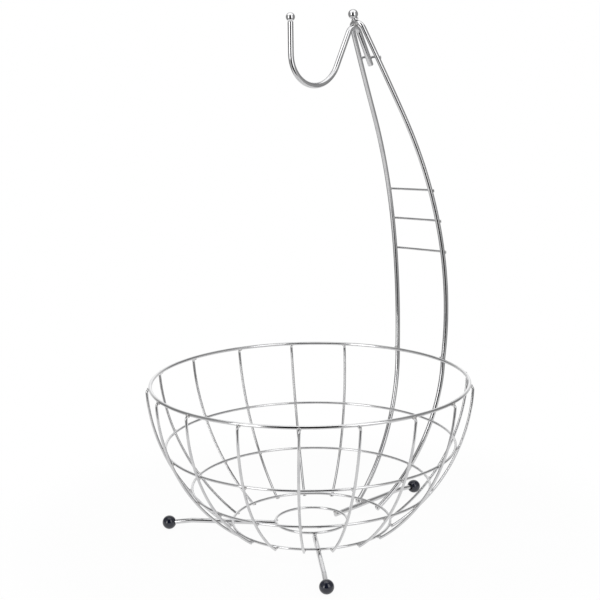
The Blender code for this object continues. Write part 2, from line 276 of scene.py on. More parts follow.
def cut_flat(piece, height):
    """Cuts a piece off level at a height and closes it there."""
    shape = bmesh.new()
    shape.from_mesh(piece.data)
    everything = [*shape.verts, *shape.edges, *shape.faces]
    cut = bmesh.ops.bisect_plane(shape, geom=everything, plane_co=UP * height, plane_no=-UP, clear_outer=True)
    edges = [part for part in cut["geom_cut"] if isinstance(part, bmesh.types.BMEdge)]
    bmesh.ops.edgeloop_fill(shape, edges=edges)
    shape.to_mesh(piece.data)
    shape.free()


# Sizes and colours that a user may change

def length(name, description, default):
    return FloatProperty(name=name, description=description, default=default, unit="LENGTH", precision=5)


def angle(name, description, degrees):
    return FloatProperty(name=name, description=description, default=math.radians(degrees),
                         subtype="ANGLE", unit="ROTATION")


def amount(name, description, default):
    return FloatProperty(name=name, description=description, default=default, min=0.0, precision=3)


def colour(name, description, default):
    return FloatVectorProperty(name=name, description=description, default=default, size=3,
                               subtype="COLOR", min=0.0, max=1.0)


class BowlSizes(PropertyGroup):
    """Curve of the bowl, and how its wires climb it."""

    depth: length("Depth", "Depth at which the bowl's curve would close", 0.1473)
    fullness: amount("Fullness", "Power of the bowl's curve: 2 is an ellipse", 1.9)
    wire: length("Wire", "Diameter of the basket wires", 0.0023)
    wire_end: length("Wire end", "How far a wire runs on below the lower ring", 0.0004)
    shoulder: length("Shoulder", "Depth below the rim where a wire starts to turn in", 0.0042)
    top_slope: angle("Top slope", "Slope at which a wire meets the rim from below", 40.0)
    twist: angle("Twist", "How far a wire has turned round the bowl once it is at the rim", -1.9)
    gap: length("Gap", "Space that the frame leaves between two welded wires", 0.0003)

    def radius_at(self, drop):
        """Radius of the bowl's curve at a depth below the rim."""
        share = drop / self.depth
        return RIM_RADIUS * (1.0 - share ** self.fullness) ** (1.0 / self.fullness)

    def outward_at(self, drop):
        """Unit vector across the bowl's curve, away from the bowl: (outwards, upwards)."""
        across = self.radius_at(drop) ** (self.fullness - 1.0) / RIM_RADIUS ** self.fullness
        down = drop ** (self.fullness - 1.0) / self.depth ** self.fullness
        size = math.hypot(across, down)
        return across / size, -down / size

    def beside(self, drop, offset, turn):
        """Point at an offset outside the bowl's curve, turned from the back (+Y) towards +X."""
        across, up = self.outward_at(drop)
        radius = self.radius_at(drop) + offset * across
        return RIM_CENTRE + turned(radius, turn, offset * up - drop)

    def apart(self, one, other):
        """Distance between the centre lines of two round wires that are welded side by side."""
        return one / 2.0 + self.gap + other / 2.0

    def turn_at(self, at_rim, at_foot, drop):
        """Turn round the bowl's axis at a depth, for a wire that is turned a little on its way down."""
        return at_rim + (at_foot - at_rim) * drop / RING_DROPS["lower_ring"]

    def wire_turn(self, foot_turn, drop):
        """Turn of a basket wire at a depth, from the turn of its lower end."""
        return self.turn_at(foot_turn + self.twist, foot_turn, drop)

    def climb(self, diameter, top_drop, end, turn_at_rim, turn_at_foot):
        """Points up the outside of the rings, from a straight end below the lower one to a depth."""
        side = self.apart(RING_WIRE, diameter)
        drops = [RING_DROPS[name] for name in reversed(CROSSED_RINGS)] + [top_drop]
        offsets = [side] * len(CROSSED_RINGS) + [self.apart(RIM_WIRE, diameter)]
        first = self.beside(drops[0], side, turn_at_foot)
        along = first - self.beside(drops[0] - end, side, turn_at_foot)
        points = [first + along.normalized() * end]
        for low, high, start, stop in zip(drops, drops[1:], offsets, offsets[1:]):
            for share in spread(0.0, 1.0, CLIMB_STEPS)[:-1]:
                drop = low + (high - low) * share
                turn = self.turn_at(turn_at_rim, turn_at_foot, drop)
                points.append(self.beside(drop, start + (stop - start) * share, turn))
        return points

    def wire_route(self, foot_turn):
        """One basket wire, from the lower ring up to its shoulder and in against the rim from below."""
        points = self.climb(self.wire, self.shoulder, self.wire_end, foot_turn + self.twist, foot_turn)
        turn = self.wire_turn(foot_turn, self.shoulder)
        side = self.apart(RIM_WIRE, self.wire)
        reach = RIM_WIRE / 2.0 + self.gap
        shoulder = self.beside(self.shoulder, side, turn)
        corner = RIM_CENTRE + turned(RIM_RADIUS + side, turn, -side * math.tan(self.top_slope))
        end = RIM_CENTRE + turned(RIM_RADIUS + reach * math.cos(self.top_slope), turn,
                                  -reach * math.sin(self.top_slope))
        return points + [shoulder.lerp(corner, share).lerp(corner.lerp(end, share), share)
                         for share in spread(0.0, 1.0, SHOULDER_STEPS)]


class StandSizes(PropertyGroup):
    """The hairpin that climbs the back of the bowl and bows forward over it."""

    rod: length("Rod", "Diameter of the hairpin's rod", 0.0042)
    bar: length("Bar", "Diameter of the crossbars", 0.0021)
    turn_at_rim: angle("Turn at rim", "Half the angle between the rods, seen from above, at the rim", 11.75)
    turn_at_foot: angle("Turn at foot", "Half the angle between the rods at the lower ring", 10.4)
    end: length("End", "How far the rods run on below the lower ring", 0.0022)
    bow_rise: length("Bow rise", "Height above the rim where the bow stands furthest back", 0.0380)
    bow_radius: length("Bow radius", "Radius of the bow above the rim", 0.4120)
    lean: angle("Lean", "How far the straight top of the hairpin leans forward", 26.0)
    bend_height: length("Bend height", "Height above the rim where the bend at the top starts", 0.2932)
    bend_radius: length("Bend radius", "Radius of the bend at the top", 0.0070)
    splay_at_rim: angle("Splay at rim", "How far each rod spreads outwards at the rim", 3.8)
    splay_at_bend: angle("Splay at bend", "How far each rod spreads outwards below the bend", -9.4)

    def bow_top(self):
        """Height above the rim where the bow runs out into the straight top."""
        return self.bow_rise + self.bow_radius * math.sin(self.lean)

    def rod_at(self, bowl, height):
        """Place of the right-hand rod at a height above the rim, from the rim's centre."""
        start = bowl.beside(0.0, bowl.apart(RIM_WIRE, self.rod), self.turn_at_rim) - RIM_CENTRE
        furthest = start.y + self.bow_radius - math.sqrt(self.bow_radius ** 2 - self.bow_rise ** 2)
        if height <= self.bow_top():
            rise = height - self.bow_rise
            depth = furthest - self.bow_radius + math.sqrt(self.bow_radius ** 2 - rise ** 2)
        else:
            depth = furthest - self.bow_radius * (1.0 - math.cos(self.lean))
            depth -= (height - self.bow_top()) * math.tan(self.lean)
        end_spread = self.bend_radius * math.cos(self.splay_at_bend)
        slopes = math.tan(self.splay_at_rim), math.tan(self.splay_at_bend)
        share = height / self.bend_height
        return Vector((blend(start.x, slopes[0], end_spread, slopes[1], share, self.bend_height),
                       depth, height))

    def lean_axis(self):
        """Direction up the leaning rods."""
        return in_profile(math.pi / 2.0 + self.lean)

    def back(self):
        """Direction across the plane of the leaning rods, away from the bowl."""
        return in_profile(self.lean)

    def back_at(self, height):
        """The same direction at any height above the rim, along the bow too."""
        return in_profile(min(self.lean, math.asin((height - self.bow_rise) / self.bow_radius)))

    def bend_centre(self, bowl):
        rod = self.rod_at(bowl, self.bend_height)
        below = self.bend_radius * math.sin(-self.splay_at_bend)
        return Vector((0.0, rod.y, rod.z)) - self.lean_axis() * below

    def hairpin(self, bowl):
        """Right rod from its foot to the bend, the bend, and the left rod as its mirror image."""
        right = [point - RIM_CENTRE for point in
                 bowl.climb(self.rod, 0.0, self.end, self.turn_at_rim, self.turn_at_foot)]
        right += [self.rod_at(bowl, height) for height in spread(0.0, self.bend_height, HAIRPIN_STEPS)[:-1]]
        left = [Vector((-point.x, point.y, point.z)) for point in reversed(right)]
        sweep = math.pi + 2.0 * self.splay_at_bend
        bend = [self.bend_centre(bowl) + self.bend_radius * (
            ACROSS * math.cos(turn) + self.lean_axis() * math.sin(turn))
            for turn in spread(-self.splay_at_bend, sweep, HAIRPIN_STEPS)]
        return [RIM_CENTRE + point for point in right + bend + left]

    def apex(self, bowl):
        """Middle of the rod at the top of the bend."""
        return RIM_CENTRE + self.bend_centre(bowl) + self.lean_axis() * self.bend_radius


class HookSizes(PropertyGroup):
    """The banana hook, from its tail between the rods, under the bend and up to its tip."""

    rod: length("Rod", "Diameter of the hook's rod", 0.0048)
    tail: length("Tail", "Straight tail between the hairpin's rods", 0.0316)
    crown_radius: length("Crown radius", "Radius of the bend over the crown", 0.0067)
    slope: angle("Slope", "Slope of the straight run from the crown down to the hook", 62.7)
    run: length("Run", "Straight run from the crown to the hook", 0.0309)
    hook_radius: length("Hook radius", "Radius of the hook itself", 0.0267)
    tip_run: length("Tip run", "Straight run up to the tip", 0.0259)
    tip_ball: length("Tip ball", "Diameter of the ball on the tip", 0.0075)
    finial_ball: length("Finial ball", "Diameter of the ball on the hairpin's bend", 0.0085)
    finial_neck: length("Finial neck", "Diameter of the neck under that ball", 0.0051)
    finial_rise: length("Finial rise", "Height of that ball's centre over the middle of the bend", 0.0071)
    flare: length("Flare", "How far the neck flares out at its foot", 0.0008)

    def crown(self, bowl, stand):
        """Centre of the crown's bend, which lets the hook pass close under the hairpin's bend."""
        ahead = (self.rod - stand.rod) / 2.0 + self.crown_radius
        apart = self.crown_radius + bowl.apart(self.rod, stand.rod)
        below = math.sqrt(apart ** 2 - ahead ** 2)
        return stand.apex(bowl) - stand.lean_axis() * below - stand.back() * ahead

    def route(self, bowl, stand):
        """Points of the hook's centre line in the plane x = 0."""
        start = self.crown(bowl, stand) + stand.back() * self.crown_radius
        start -= stand.lean_axis() * self.tail
        over = math.pi / 2.0 - stand.lean + self.slope
        moves = [("run", self.tail, 0.0), ("bend", self.crown_radius, over), ("run", self.run, 0.0),
                 ("bend", self.hook_radius, -(math.pi / 2.0 + self.slope)), ("run", self.tip_run, 0.0)]
        return bent_path(start, math.pi / 2.0 + stand.lean, moves, HOOK_ARC_STEP)

    def tip_shape(self, bowl, stand):
        """Ball on the hook's tip, cut off flat over the rod."""
        ball = ball_outline(self.tip_ball / 2.0, self.rod / 2.0, BALL_RINGS)
        foot = ball[-1][1]
        place = self.route(bowl, stand)[-1] + UP * (bowl.gap - foot)
        return turned_solid(ball + [(0.0, foot)], place, UP, BALL_SIDES)

    def finial_shape(self, bowl, stand):
        """Ball on a neck that flares out onto the rod of the hairpin's bend."""
        neck = self.finial_neck / 2.0
        foot = stand.rod / 2.0 + bowl.gap - self.finial_rise
        outline = ball_outline(self.finial_ball / 2.0, neck, BALL_RINGS)
        top = outline[-1][1]
        for share in spread(0.0, 1.0, FLARE_STEPS)[1:]:
            wider = self.flare * (1.0 - math.sqrt(1.0 - share ** 2))
            outline.append((neck + wider, top + (foot - top) * share))
        place = stand.apex(bowl) + stand.lean_axis() * self.finial_rise
        return turned_solid(outline + [(0.0, foot)], place, stand.lean_axis(), BALL_SIDES)


class LegSizes(PropertyGroup):
    """Rod legs and the feet that are pushed on them."""

    rod: length("Rod", "Diameter of a leg", 0.0042)
    overhang: length("Overhang", "How far a leg runs on inside the base ring", 0.0005)
    bend_run: length("Bend run", "Length of the bent-down end, up to the foot's centre", 0.0205)
    bend_radius: length("Bend radius", "Radius of the bend before the foot", 0.0100)
    drop: length("Drop", "How far the bent end comes down", 0.0026)
    ball: length("Ball", "Diameter of a foot ball", 0.0120)
    bore_depth: length("Bore depth", "Depth of the bore that takes the leg", 0.0060)
    bore_lip: length("Bore lip", "Radius of the rounded edge round the bore's mouth", 0.0005)

    def level(self, bowl):
        """Height of a leg's straight part, under the rings."""
        return RIM_CENTRE.z - RING_DROPS["lower_ring"] - bowl.apart(RING_WIRE, self.rod)

    def foot(self, bowl, side):
        """Centre of a foot ball, and its turn from the back (+Y) towards +X round the bowl's axis."""
        place = middle_of("foot_ball_" + side)
        turn = math.atan2(place.x - RIM_CENTRE.x, place.y - RIM_CENTRE.y)
        return Vector((place.x, place.y, self.level(bowl) - self.drop)), turn

    def bore_radius(self, bowl):
        return self.rod / 2.0 + bowl.gap

    def bore_mouth(self, bowl):
        """Distance of the bore's mouth from the ball's centre."""
        return math.sqrt((self.ball / 2.0) ** 2 - self.bore_radius(bowl) ** 2)

    def route(self, bowl, side):
        """Leg rod from inside the base ring to the bottom of the foot's bore."""
        place, turn = self.foot(bowl, side)
        reach = math.hypot(place.x - RIM_CENTRE.x, place.y - RIM_CENTRE.y)
        slope = math.atan(self.drop / self.bend_run)
        inner = ring_measures("base_ring")[1] - self.overhang
        back_off = self.bend_radius * math.tan(slope / 2.0)
        seat = self.bore_mouth(bowl) - self.bore_depth + bowl.gap
        slanted = math.hypot(self.drop, self.bend_run) - back_off - seat
        moves = [("run", reach - self.bend_run - back_off - inner, 0.0),
                 ("bend", self.bend_radius, -slope), ("run", slanted, 0.0)]
        flat = bent_path(Vector((0.0, inner, 0.0)), 0.0, moves, LEG_ARC_STEP)
        start = Vector((RIM_CENTRE.x, RIM_CENTRE.y, self.level(bowl)))
        return [start + Matrix.Rotation(-turn, 3, "Z") @ point for point in flat]

    def foot_shape(self, bowl, side):
        """Foot ball with a bore that has a rounded edge, turned round the end of its leg."""
        bore = self.bore_radius(bowl)
        outline = ball_outline(self.ball / 2.0, bore + self.bore_lip, FOOT_RINGS)
        mouth = outline[-1][1] + self.bore_lip
        outline += [(bore + self.bore_lip * (1.0 - math.sin(turn)), mouth - self.bore_lip * math.cos(turn))
                    for turn in spread(0.0, math.pi / 2.0, LIP_STEPS)[1:]]
        bottom = self.bore_depth - self.bore_mouth(bowl)
        outline += [(bore, bottom), (0.0, bottom)]
        route = self.route(bowl, side)
        place = self.foot(bowl, side)[0]
        return turned_solid(outline, place, (route[-1] - route[-2]).normalized(), FOOT_SIDES)


class WeldSizes(PropertyGroup):
    """Beads where two wires were pressed together and welded before the plating."""

    reach: amount("Reach", "Half width of a weld, as a share of the thinner wire's diameter", 0.80)
    thickness: amount("Thickness", "Half thickness of a weld, as a share of that diameter", 0.36)
    squareness: amount("Squareness", "Power of a weld's outline: 2 is an ellipse", 2.5)
    unevenness: amount("Unevenness", "How far a weld's surface wanders, as a share of its size", 0.10)
    lump: length("Lump", "Size of the lumps on a weld", 0.0012)


class FinishColours(PropertyGroup):
    """Colours and polish of the two materials."""

    chrome: colour("Chrome", "Bright chrome plate", (0.60, 0.60, 0.605))
    chrome_shade: colour("Chrome shade", "Slightly duller patches of the plate", (0.54, 0.54, 0.55))
    weld: colour("Weld", "Plate over a weld, a little stained by the heat", (0.50, 0.49, 0.48))
    polish: amount("Polish", "Roughness of the best polished chrome", 0.09)
    haze: amount("Haze", "How much rougher the dull patches are", 0.05)
    weld_polish: amount("Weld polish", "Roughness of the plate over a weld, at its best", 0.12)
    black: colour("Black", "Black moulded plastic", (0.006, 0.008, 0.019))
    black_worn: colour("Black, worn", "The same where it is rubbed", (0.012, 0.015, 0.030))
    black_gloss: amount("Black gloss", "Roughness of the glossy plastic", 0.08)
    black_ior: amount("Black IOR", "Refractive index of the plastic's skin", 1.6)


class StudioSetting(PropertyGroup):
    """Camera, floor and light."""

    heading: angle("Heading", "Where the camera stands, turned from the front (-Y) towards +X", 48.1)
    pitch: angle("Pitch", "How far the camera looks down", 12.02)
    roll: angle("Roll", "How far the camera is tipped clockwise", 0.815)
    distance: length("Distance", "Distance of the camera from the rim's centre, along its heading", 1.2024)
    aside: length("Aside", "How far the camera stands to the right of its heading", -0.00728)
    rise: length("Rise", "Height of the camera over the rim", 0.32648)
    lens: FloatProperty(name="Lens", description="Focal length on a 36 mm sensor", default=87.87,
                        subtype="DISTANCE_CAMERA")
    floor_front: length("Floor front", "How far the floor reaches towards the camera", 0.320)
    floor_back: length("Floor back", "How far the floor reaches away from the camera", 0.60)
    floor_half: length("Floor half width", "Half the width of the floor", 0.40)
    floor_tint: colour("Floor", "Colour of the floor", (0.94, 0.94, 0.94))
    floor_worn: colour("Floor, worn", "The same where it is a little duller", (0.91, 0.91, 0.91))
    white_share: amount("White share", "How much of the floor is plain white to the camera", 0.95)
    shadow_reach: length("Shadow reach", "Where the floor starts to turn all white, from its middle", 0.20)
    plain_level: amount("Plain level", "Light of the room on dull surfaces", 0.50)
    camera_side: amount("Camera side", "Light of the room around the camera", 0.02)
    camera_side_half: angle("Camera side half width", "Half the width of that dark part of the room", 27.0)
    front_walls: amount("Front walls", "Light of the room to the left and right of that part", 0.68)
    front_walls_from: angle("Front walls from", "Where those walls start, from the camera's side", 36.0)
    side_walls: amount("Side walls", "Light of the room to either side of the object", 0.44)
    side_walls_from: angle("Side walls from", "Where those walls start, from the camera's side", 70.0)
    gaps: amount("Gaps", "Light of the room between the side walls and the backdrop", 0.30)
    gaps_from: angle("Gaps from", "Where those gaps start, from the camera's side", 104.0)
    backdrop: amount("Backdrop", "Light of the backdrop behind the object", 0.86)
    backdrop_from: angle("Backdrop from", "Where the backdrop starts, from the camera's side", 148.0)
    backdrop_spot: amount("Backdrop spot", "Light of the brightest part of the backdrop", 1.30)
    spot_height: angle("Spot height", "How high over the horizon that part lies", 18.0)
    spot_half: angle("Spot half width", "Half the width of that part, to where it has faded out", 28.0)
    ceiling: amount("Ceiling", "Light of the ceiling, in front of the backdrop", 0.14)
    ceiling_from: amount("Ceiling from", "Sine of the height at which the ceiling starts", 0.72)
    ceiling_fade: amount("Ceiling fade", "How much further up it is all ceiling, as a sine too", 0.15)
    left_level: amount("Left level", "Light of the left softbox", 2.87)
    left_aside: angle("Left aside", "How far the left softbox stands from the camera", 43.5)
    left_distance: length("Left distance", "Distance of the left softbox from the rim's centre", 2.20)
    left_middle: length("Left middle", "Height of the left softbox's middle", 0.50)
    left_width: length("Left width", "Width of the left softbox", 0.82)
    left_height: length("Left height", "Height of the left softbox itself", 1.50)
    right_level: amount("Right level", "Light of the right softbox", 1.70)
    right_aside: angle("Right aside", "How far the right softbox stands from the camera", 34.3)
    right_distance: length("Right distance", "Distance of the right softbox from the rim's centre", 0.71)
    right_middle: length("Right middle", "Height of the right softbox's middle", 0.52)
    right_width: length("Right width", "Width of the right softbox", 0.36)
    right_height: length("Right height", "Height of the right softbox itself", 0.84)
    overhead_level: amount("Overhead level", "Light of the softbox over the object", 1.45)
    overhead_rise: length("Overhead rise", "Height of that softbox over the rim", 0.56)
    overhead_ahead: length("Overhead ahead", "How far that softbox hangs towards the camera", 0.085)
    overhead_aside: length("Overhead aside", "How far that softbox hangs to the left", 0.045)
    overhead_width: length("Overhead width", "Width of that softbox", 0.72)
    overhead_depth: length("Overhead depth", "Depth of that softbox", 0.37)


# Shader maths and nodes

class Signal:
    """Output of a node, so that shader maths reads as Python expressions."""

    def __init__(self, nodes, socket):
        self.nodes = nodes
        self.socket = socket

    def __add__(self, other):
        return self.nodes.math("ADD", self, other)

    def __mul__(self, other):
        return self.nodes.math("MULTIPLY", self, other)

    def __truediv__(self, other):
        return self.nodes.math("DIVIDE", self, other)

    def __rtruediv__(self, other):
        return self.nodes.math("DIVIDE", other, self)

    __radd__ = __add__
    __rmul__ = __mul__


class Grain(NamedTuple):
    """Noise over a surface, and what it does there."""

    per_metre: float
    detail: float
    roughness: float = 0.5
    starts: float = 0.0  # level of the noise at which its patches start
    full: float = 1.0  # level at which they are full
    depth: float = 0.0  # depth of its bumps, in metres
    tints: float = 1.0  # how much it colours the surface
    dulls: float = 0.0  # how much it roughens the surface


class Nodes:
    """Node tree of a material or world, built up in code."""

    def __init__(self, owner):
        owner.use_nodes = True
        owner.node_tree.nodes.clear()
        self.owner = owner

    def add(self, kind, settings=None, sockets=None, output=0):
        """Adds a node: its settings first, then the values or links of its sockets."""
        tree = self.owner.node_tree
        node = tree.nodes.new(kind)
        for name, value in (settings or {}).items():
            if name == "stops":
                set_stops(node.color_ramp, value)
            else:
                setattr(node, name, value)
        for key, value in (sockets or {}).items():
            socket = find_socket(node.inputs, key)
            if isinstance(value, Signal):
                tree.links.new(value.socket, socket)
            else:
                socket.default_value = value
        return Signal(self, find_socket(node.outputs, output)) if len(node.outputs) else node

    def math(self, operation, *values):
        return self.add("ShaderNodeMath", {"operation": operation}, dict(enumerate(values)))

    def position(self):
        """Place on the piece, in metres."""
        return self.add("ShaderNodeTexCoord", output="Object")

    def noise(self, place, grain):
        return self.add("ShaderNodeTexNoise", None, {
            "Vector": place, "Scale": grain.per_metre, "Detail": grain.detail,
            "Roughness": grain.roughness}, "Fac")

    def patches(self, place, grain):
        """1 inside the patches of a grain, and 0 between them."""
        return self.between(self.noise(place, grain), grain.starts, grain.full)

    def between(self, value, low, high, to_low=0.0, to_high=1.0):
        """Smooth step of a value from one level to another."""
        return self.add("ShaderNodeMapRange", {"interpolation_type": "SMOOTHSTEP"}, {
            "Value": value, "From Min": low, "From Max": high, "To Min": to_low, "To Max": to_high})

    def mixed(self, factor, one, other):
        """Colour between two colours."""
        return self.add("ShaderNodeMix", {"data_type": "RGBA"}, {
            "Factor": factor, "A": opaque(one), "B": opaque(other)})

    def dot(self, one, other):
        """How far one vector reaches along another."""
        return self.add("ShaderNodeVectorMath", {"operation": "DOT_PRODUCT"}, {0: one, 1: other})

    def bump(self, height, grain, below=None):
        """Normal over a grain's height, and over the bumps below it."""
        sockets = {"Strength": 1.0, "Distance": grain.depth, "Height": height}
        if below:
            sockets["Normal"] = below
        return self.add("ShaderNodeBump", None, sockets)

    def ray(self, kind):
        """1 for rays of the kind that a socket of Light Path names, and 0 for others."""
        return self.add("ShaderNodeLightPath", output=kind)

    def in_gloss(self):
        """1 for what shows in metal or through glass, and 0 elsewhere."""
        return self.ray("Is Glossy Ray") + self.ray("Is Transmission Ray")

    def finish(self, shader, sockets):
        """Adds the last shader and the output, and gives the material or world back."""
        world = isinstance(self.owner, bpy.types.World)
        self.add("ShaderNodeOutputWorld" if world else "ShaderNodeOutputMaterial", None, {
            "Surface": self.add(shader, None, sockets)})
        return self.owner


def find_socket(sockets, key):
    """Socket in use by its name, or by its number among those in use."""
    used = [socket for socket in sockets if socket.enabled]
    return used[key] if isinstance(key, int) else next(socket for socket in used if socket.name == key)


def set_stops(ramp, stops):
    """Stops of a colour ramp, as pairs of a place and a grey level or colour."""
    while len(ramp.elements) > 1:
        ramp.elements.remove(ramp.elements[-1])
    for number, (place, level) in enumerate(stops):
        stop = ramp.elements[0] if number == 0 else ramp.elements.new(place)
        stop.position = place
        stop.color = opaque(level)


def opaque(value):
    """Colour with full opacity, from a grey level or a colour; a signal stays as it is."""
    if isinstance(value, Signal):
        return value
    return (value, value, value, 1.0) if isinstance(value, float) else (*value, 1.0)


def material_named(name):
    return bpy.data.materials.get(name) or bpy.data.materials.new(name)


# Finishes

DULL_PATCHES = Grain(per_metre=85.0, detail=3.0, starts=0.42, full=0.68, dulls=0.4)
POLISH_MARKS = Grain(per_metre=1900.0, detail=3.0, roughness=0.65, depth=0.000001, dulls=0.3)
SPECKS = Grain(per_metre=900.0, detail=1.0, starts=0.74, full=0.80, tints=0.5, dulls=0.6)
RIPPLE = Grain(per_metre=45.0, detail=1.0, depth=0.00006)
WELD_LUMPS = Grain(per_metre=900.0, detail=4.0, roughness=0.6, depth=0.00008, dulls=0.16)
HEAT_STAIN = Grain(per_metre=240.0, detail=2.0, starts=0.40, full=0.66)
ORANGE_PEEL = Grain(per_metre=700.0, detail=2.0, depth=0.000015, dulls=0.03)
RUBBED_SPOTS = Grain(per_metre=330.0, detail=4.0, roughness=0.6, starts=0.52, full=0.70, dulls=0.08)
FLOOR_CLOUDS = Grain(per_metre=40.0, detail=4.0)


def bright_chrome(look):
    """Chrome plate on drawn wire: slightly dull patches, fine polish marks and a soft ripple."""
    nodes = Nodes(material_named("bright_chrome"))
    place = nodes.position()
    patches = nodes.patches(place, DULL_PATCHES)
    marks = nodes.noise(place, POLISH_MARKS)
    specks = nodes.patches(place, SPECKS)
    tone = nodes.mixed(patches, look.chrome, look.chrome_shade)
    dullness = patches * DULL_PATCHES.dulls + marks * POLISH_MARKS.dulls + specks * SPECKS.dulls
    return nodes.finish("ShaderNodeBsdfPrincipled", {
        "Base Color": nodes.mixed(specks * SPECKS.tints, tone, look.weld),
        "Metallic": 1.0,
        "Roughness": look.polish + look.haze * dullness,
        "Normal": nodes.bump(marks, POLISH_MARKS, nodes.bump(nodes.noise(place, RIPPLE), RIPPLE))})


def weld_chrome(look):
    """Chrome plate over the lumpy, heat-stained metal of a weld."""
    nodes = Nodes(material_named("weld_chrome"))
    place = nodes.position()
    lumps = nodes.noise(place, WELD_LUMPS)
    return nodes.finish("ShaderNodeBsdfPrincipled", {
        "Base Color": nodes.mixed(nodes.patches(place, HEAT_STAIN), look.chrome, look.weld),
        "Metallic": 1.0,
        "Roughness": look.weld_polish + lumps * WELD_LUMPS.dulls,
        "Normal": nodes.bump(lumps, WELD_LUMPS)})


def black_plastic(look):
    """Glossy moulded plastic, with a faint orange peel and rubbed spots."""
    nodes = Nodes(material_named("black_plastic_gloss"))
    place = nodes.position()
    peel = nodes.noise(place, ORANGE_PEEL)
    rubbed = nodes.patches(place, RUBBED_SPOTS)
    return nodes.finish("ShaderNodeBsdfPrincipled", {
        "Base Color": nodes.mixed(rubbed, look.black, look.black_worn),
        "Roughness": look.black_gloss + rubbed * RUBBED_SPOTS.dulls + peel * ORANGE_PEEL.dulls,
        "IOR": look.black_ior,
        "Normal": nodes.bump(peel, ORANGE_PEEL)})


# The basket's pieces

def add_piece(name, shape, material, node=None):
    """Piece of the basket from vertices and faces, which rides on the basket and may stand for a CAD node."""
    verts, faces = shape
    mesh = bpy.data.meshes.new(name)
    mesh.from_pydata(verts, [], faces)
    mesh.materials.append(material)
    mesh.shade_smooth()
    mesh.set_sharp_from_angle(angle=SHARP_ANGLE)
    piece = bpy.data.objects.new(name, mesh)
    bpy.context.scene.collection.objects.link(piece)
    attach(piece, "root")
    if node:
        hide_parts(node)
    return piece


def add_chromed(name, shape, chrome, node):
    """Piece of bright chrome that stands for a CAD node."""
    add_piece("chromed_" + name, shape, chrome, node)


class BASKET_OT_rings(Operator):
    """Adds the five rings of the bowl"""

    bl_idname = "basket.rings"
    bl_label = "Add rings"

    def execute(self, context):
        chrome = bright_chrome(context.scene.basket_finish)
        for name in RING_DROPS:
            centre, radius, wire = ring_measures(name)
            circle = [centre + turned(radius, turn, 0.0) for turn in full_turn(RING_STEPS)]
            add_chromed(name, tube(circle, wire, WIRE_SIDES, closed=True), chrome, name)
        return {"FINISHED"}


class BASKET_OT_wires(Operator):
    """Adds the bent wires outside the rings"""

    bl_idname = "basket.wires"
    bl_label = "Add basket wires"

    def execute(self, context):
        bowl = context.scene.basket_bowl
        chrome = bright_chrome(context.scene.basket_finish)
        for name in WIRE_NODES:
            route = bowl.wire_route(foot_turn_of(bowl, name))
            add_chromed(name, tube(route, bowl.wire, WIRE_SIDES), chrome, name)
        return {"FINISHED"}


class BASKET_OT_stand(Operator):
    """Adds the hairpin and its crossbars"""

    bl_idname = "basket.stand"
    bl_label = "Add stand"

    def execute(self, context):
        bowl, stand = context.scene.basket_bowl, context.scene.basket_stand
        chrome = bright_chrome(context.scene.basket_finish)
        add_chromed("hairpin", tube(stand.hairpin(bowl), stand.rod, ROD_SIDES), chrome, "hanger_upright")
        for name in CROSSBARS:
            add_chromed(name, tube(bar_ends(stand, name), stand.bar, WIRE_SIDES), chrome, name)
        return {"FINISHED"}


class BASKET_OT_hook(Operator):
    """Adds the banana hook, the bar that holds its tail, the ball on its tip and the finial"""

    bl_idname = "basket.hook"
    bl_label = "Add banana hook"

    def execute(self, context):
        scene = context.scene
        bowl, stand, hook = scene.basket_bowl, scene.basket_stand, scene.basket_hook
        chrome = bright_chrome(scene.basket_finish)
        add_chromed("banana_hook", tube(hook.route(bowl, stand), hook.rod, ROD_SIDES), chrome, "banana_hook")
        tail_bar = tube(bar_ends(stand, "hook_tail_bar"), stand.bar, WIRE_SIDES)
        add_chromed("tail_bar", tail_bar, chrome, "hook_tail_bar")
        add_chromed("tip_ball", hook.tip_shape(bowl, stand), chrome, "hook_tip_ball")
        add_chromed("finial", hook.finial_shape(bowl, stand), chrome, "finial_ball")
        return {"FINISHED"}


class BASKET_OT_legs(Operator):
    """Adds the three legs"""

    bl_idname = "basket.legs"
    bl_label = "Add legs"

    def execute(self, context):
        bowl, leg = context.scene.basket_bowl, context.scene.basket_leg
        chrome = bright_chrome(context.scene.basket_finish)
        for side in LEGS:
            name = "leg_" + side
            add_chromed(name, tube(leg.route(bowl, side), leg.rod, WIRE_SIDES), chrome, name)
        return {"FINISHED"}


class BASKET_OT_feet(Operator):
    """Adds the black ball feet"""

    bl_idname = "basket.feet"
    bl_label = "Add feet"

    def execute(self, context):
        bowl, leg = context.scene.basket_bowl, context.scene.basket_leg
        plastic = black_plastic(context.scene.basket_finish)
        for side in LEGS:
            shape = leg.foot_shape(bowl, side)
            foot = add_piece("moulded_foot_" + side, shape, plastic, "foot_ball_" + side)
            cut_flat(foot, 0.0)
        return {"FINISHED"}


class BASKET_OT_welds(Operator):
    """Adds the weld beads, on the bowl, on the stand and under the bowl"""

    bl_idname = "basket.welds"
    bl_label = "Add welds"

    def execute(self, context):
        scene = context.scene
        bowl, stand, hook, leg = scene.basket_bowl, scene.basket_stand, scene.basket_hook, scene.basket_leg
        chrome = weld_chrome(scene.basket_finish)
        for name, places in (("bowl_welds", bowl_welds(bowl)),
                             ("stand_welds", stand_welds(bowl, stand, hook)),
                             ("leg_welds", leg_welds(bowl, leg))):
            shape = joined(bead(scene.basket_weld, *place) for place in places)
            add_piece(name, shape, chrome)
        return {"FINISHED"}


def foot_turn_of(bowl, node):
    """Turn of a CAD wire round the bowl's axis at its lower end."""
    end = end_of(node, -UP, bowl.wire / 2.0) - RIM_CENTRE
    return math.atan2(end.x, end.y)


